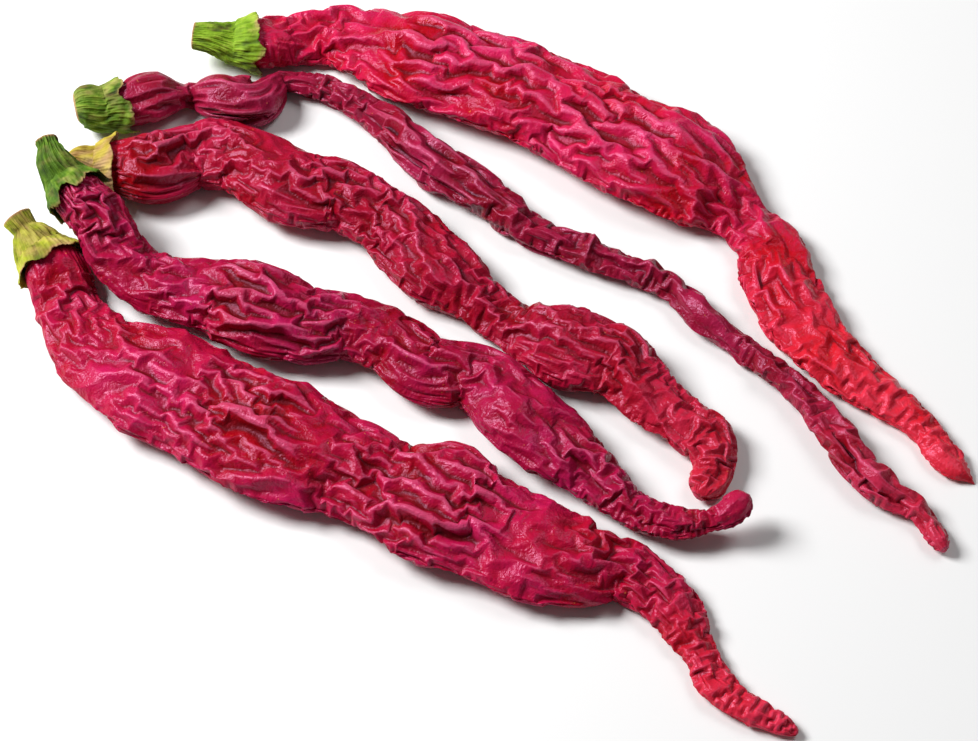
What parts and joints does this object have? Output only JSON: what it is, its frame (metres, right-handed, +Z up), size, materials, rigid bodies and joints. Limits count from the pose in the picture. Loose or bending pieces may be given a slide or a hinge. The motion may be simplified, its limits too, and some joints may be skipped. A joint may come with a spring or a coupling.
{
  "type": "bunch of dried chillies",
  "caption": "Long red chillies dried whole and shrivelled, lying side by side with their green and brown stem ends together.",
  "frame": {"origin": "middle of the whole set in plan, on the surface that the chillies lie on", "axes": "+X from the stem ends towards the tips, +Y across the chillies towards the broad one, +Z up"},
  "size_m": [0.1862, 0.1702, 0.017],
  "materials": {
    "front_skin": "thin dried chilli skin, crumpled and half glossy, crimson",
    "front_dry_calyx": "dry fibrous calyx and stem, yellow-green",
    "green_stemmed_skin": "thin dried chilli skin, folded and half glossy, dark crimson",
    "green_stemmed_dry_calyx": "dry fibrous calyx and stem, dark green",
    "brown_capped_skin": "thin dried chilli skin, crumpled and half glossy, crimson to orange-red",
    "brown_capped_dry_calyx": "dry papery calyx and stem, tan with some green",
    "slender_skin": "thin dried chilli skin, deeply grooved and glossy, maroon",
    "slender_dry_calyx": "dry fibrous calyx and stem, mid green",
    "broad_skin": "thin dried chilli skin, crumpled and half glossy, bright crimson",
    "broad_dry_calyx": "dry fibrous calyx and stem, bright green"
  },
  "bodies": {
    "root": {"front_pod": "front_skin", "front_calyx": "front_dry_calyx", "green_stemmed_pod": "green_stemmed_skin", "green_stemmed_calyx": "green_stemmed_dry_calyx", "brown_capped_pod": "brown_capped_skin", "brown_capped_calyx": "brown_capped_dry_calyx", "slender_pod": "slender_skin", "slender_calyx": "slender_dry_calyx", "broad_pod": "broad_skin", "broad_calyx": "broad_dry_calyx"}
  },
  "joints": []
}
